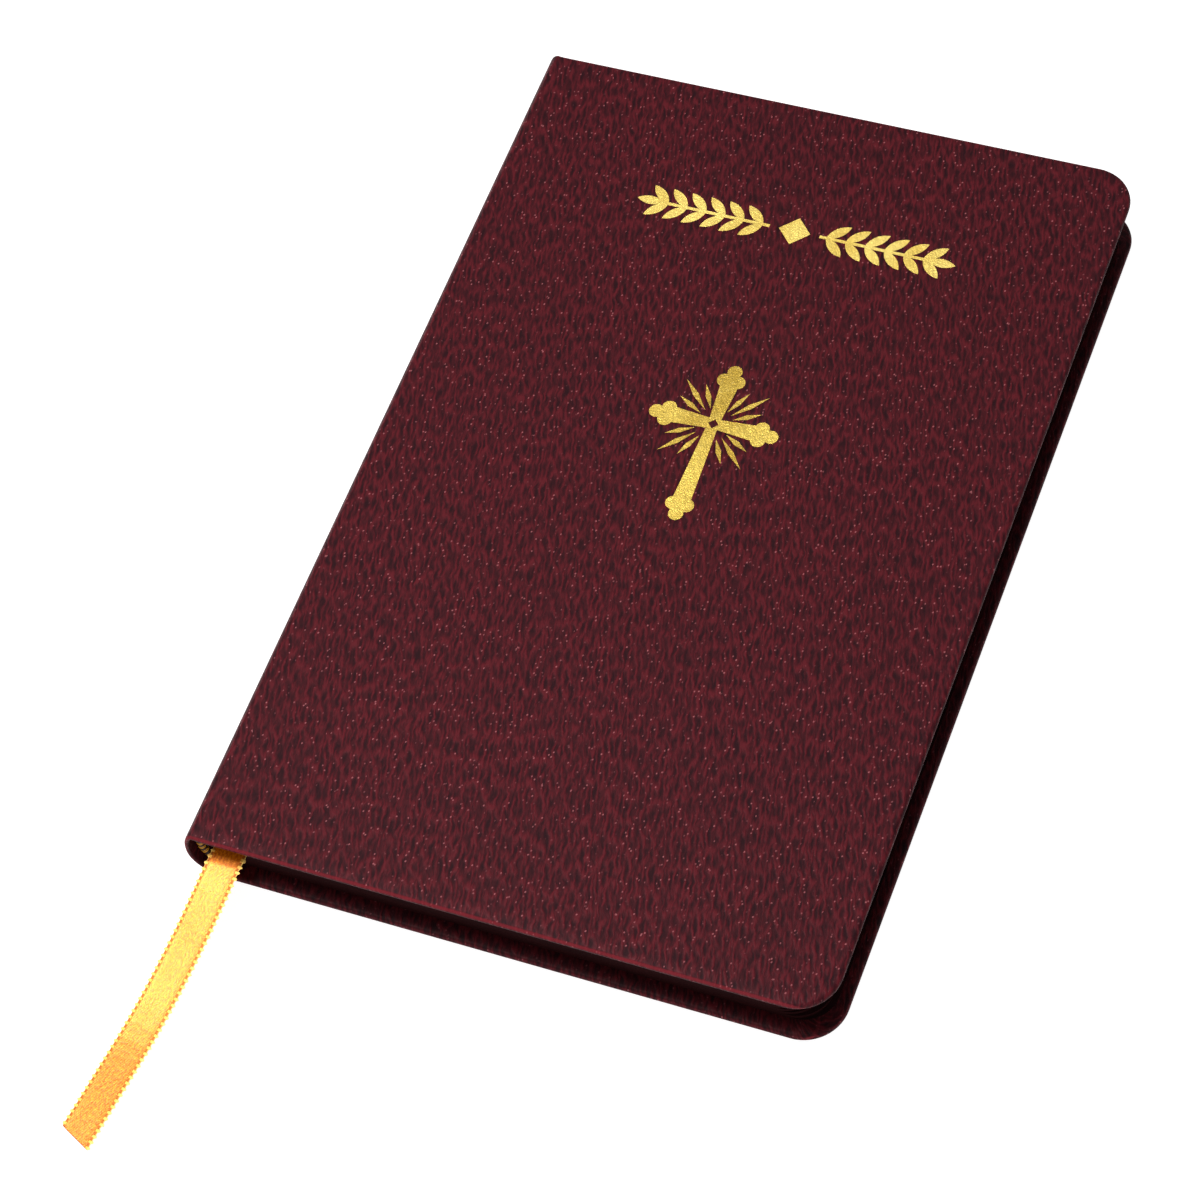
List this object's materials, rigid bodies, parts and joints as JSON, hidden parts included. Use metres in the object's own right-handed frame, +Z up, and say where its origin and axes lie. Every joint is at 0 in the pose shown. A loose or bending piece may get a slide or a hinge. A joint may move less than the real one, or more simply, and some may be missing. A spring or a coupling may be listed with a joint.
{
  "type": "prayer book",
  "caption": "Closed pocket prayer book: limp leatherette covers with round corners, sewn page block, foil ornaments and a satin ribbon marker.",
  "frame": {"origin": "middle of the closed book's footprint, on the surface it lies on, leaving out the free ribbon tail", "axes": "+X from the spine to the fore-edge, +Y from the tail to the head of the pages, +Z up through the front cover"},
  "size_m": [0.1165, 0.2236, 0.013],
  "materials": {
    "burgundy_leatherette": "satin",
    "flexible_card": "matte",
    "endpaper": "matte",
    "bible_paper": "matte",
    "kraft_paper": "matte",
    "gauze": "matte",
    "linen_thread": "matte",
    "striped_band": "satin",
    "gold_foil": "satin",
    "satin_ribbon": "satin"
  },
  "bodies": {
    "back_cover": {"back_cover_skin": "burgundy_leatherette", "back_board": "flexible_card", "back_pastedown": "endpaper"},
    "front_cover": {"front_cover_skin": "burgundy_leatherette", "front_board": "flexible_card", "front_pastedown": "endpaper", "title_foil": "gold_foil", "emblem_foil": "gold_foil"},
    "rear_block": {"back_flyleaf": "endpaper", "back_spine_skin": "burgundy_leatherette", "back_spine_strip": "flexible_card", "back_lining": "kraft_paper", "back_mull": "gauze", "back_sewing": "linen_thread", "back_head_band": "striped_band", "back_tail_band": "striped_band", "section_7": "bible_paper", "section_8": "bible_paper", "section_9": "bible_paper", "section_10": "bible_paper", "section_11": "bible_paper", "section_12": "bible_paper", "ribbon_anchor": "satin_ribbon", "ribbon_inner": "satin_ribbon"},
    "front_block": {"section_1": "bible_paper", "section_2": "bible_paper", "section_3": "bible_paper", "section_4": "bible_paper", "section_5": "bible_paper", "section_6": "bible_paper", "front_spine_skin": "burgundy_leatherette", "front_spine_strip": "flexible_card", "front_lining": "kraft_paper", "front_mull": "gauze", "front_sewing": "linen_thread", "front_head_band": "striped_band", "front_tail_band": "striped_band", "front_flyleaf": "endpaper"},
    "ribbon_fall": {"ribbon_fall": "satin_ribbon"},
    "ribbon_tip": {"ribbon_tip": "satin_ribbon"}
  },
  "joints": [
    {"name": "book_opening", "type": "hinge", "parent": "rear_block", "child": "front_block", "pos_m": [-0.057, 0, 0.0065], "axis": [0, -1, 0], "range_deg": [0, 179.5]},
    {"name": "front_cover_hinge", "type": "hinge", "parent": "front_block", "child": "front_cover", "pos_m": [-0.0546, 0, 0.013], "axis": [0, 1, 0], "range_deg": [-179.5, 0]},
    {"name": "back_cover_hinge", "type": "hinge", "parent": "rear_block", "child": "back_cover", "pos_m": [-0.0505, 0, 0], "axis": [0, -1, 0], "range_deg": [-179.5, 0]},
    {"name": "ribbon_lift", "type": "hinge", "parent": "rear_block", "child": "ribbon_fall", "pos_m": [-0.0499, -0.08275, 0.00652], "axis": [-1, 0, 0], "range_deg": [0, 40]},
    {"name": "ribbon_tip_lift", "type": "hinge", "parent": "ribbon_fall", "child": "ribbon_tip", "pos_m": [-0.0534, -0.11501, 0.00052], "axis": [-0.9912, 0.1322, 0], "range_deg": [0, 60]}
  ]
}
